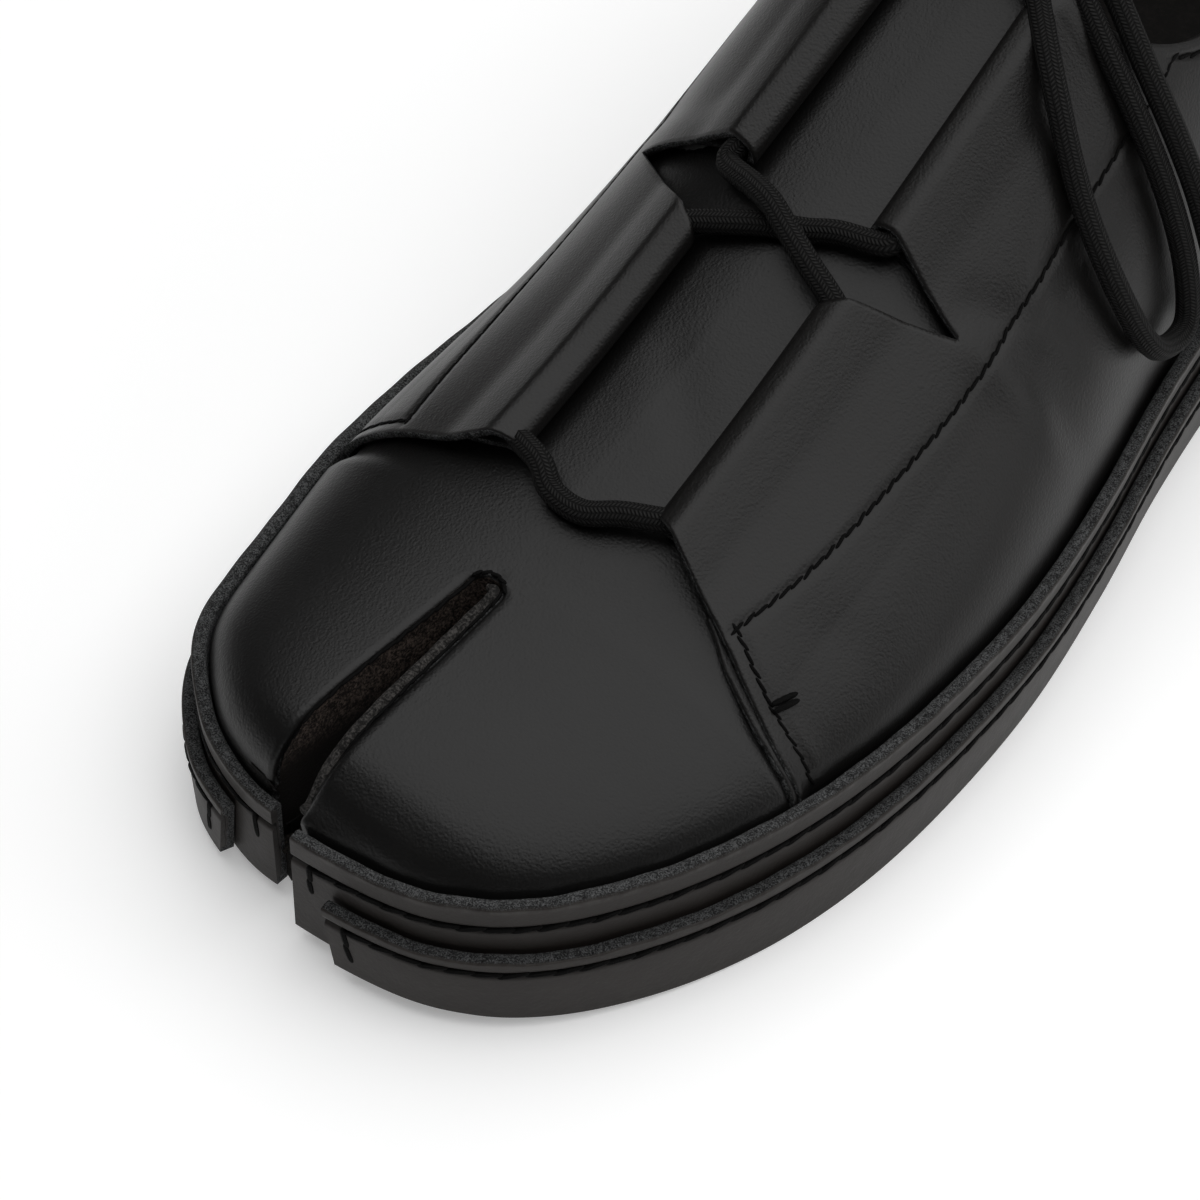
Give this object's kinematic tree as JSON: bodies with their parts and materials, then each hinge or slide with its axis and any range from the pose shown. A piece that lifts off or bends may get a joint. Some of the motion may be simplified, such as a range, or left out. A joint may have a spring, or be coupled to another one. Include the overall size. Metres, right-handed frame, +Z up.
{
  "type": "split-toe lace-up flat shoe",
  "caption": "Low black leather lace-up flat with a split toe, stitched upright rands round a flat sole, and quarters folded into lace tunnels tied with a round cord.",
  "frame": {"origin": "on the floor, under the middle of the sole's box", "axes": "+Z up, -Y towards the toe, +X towards the outer side of the left foot"},
  "size_m": [0.0952, 0.2628, 0.0775],
  "materials": {
    "sole_leather": "rough",
    "rand_leather": "satin",
    "insole_leather": "matte",
    "upper_leather": "satin",
    "quarter_leather": "satin",
    "lace_cotton": "matte"
  },
  "bodies": {
    "root": {"outsole": "sole_leather", "rand_outer": "rand_leather", "rand_inner": "rand_leather", "insole": "insole_leather", "upper": "upper_leather", "quarter_medial": "quarter_leather", "quarter_lateral": "quarter_leather", "lace_front_bar": "lace_cotton", "lace_cross": "lace_cotton", "lace_top_bar": "lace_cotton", "lace_knot": "lace_cotton", "lace_loop_lateral": "lace_cotton", "lace_end_lateral": "lace_cotton", "lace_loop_medial": "lace_cotton", "lace_end_medial": "lace_cotton"}
  },
  "joints": []
}
